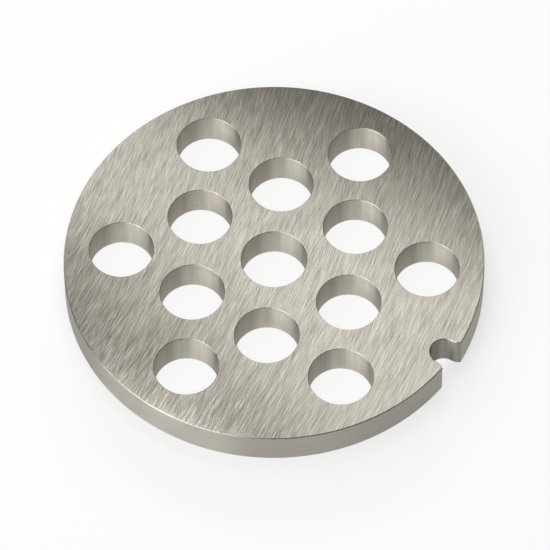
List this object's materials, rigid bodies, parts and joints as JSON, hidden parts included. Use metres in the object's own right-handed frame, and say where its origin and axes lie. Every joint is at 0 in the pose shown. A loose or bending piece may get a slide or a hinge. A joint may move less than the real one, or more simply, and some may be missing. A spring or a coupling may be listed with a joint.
{
  "type": "meat grinder plate",
  "caption": "Flat round steel grinder plate with a centre bore, two staggered rings of equal round through-holes and one flared locating notch in the rim.",
  "frame": {"origin": "on the axis of the centre bore, in the plane of the underside", "axes": "+Z along the bore axis, from the underside to the knife face; +X through the middle of the locating notch"},
  "size_m": [0.0619, 0.062, 0.0054],
  "materials": {
    "plate_steel": "ground on both faces with fine straight lines, bored hole walls, turned rim"
  },
  "bodies": {
    "root": {"grinder_plate": "plate_steel"}
  },
  "joints": []
}
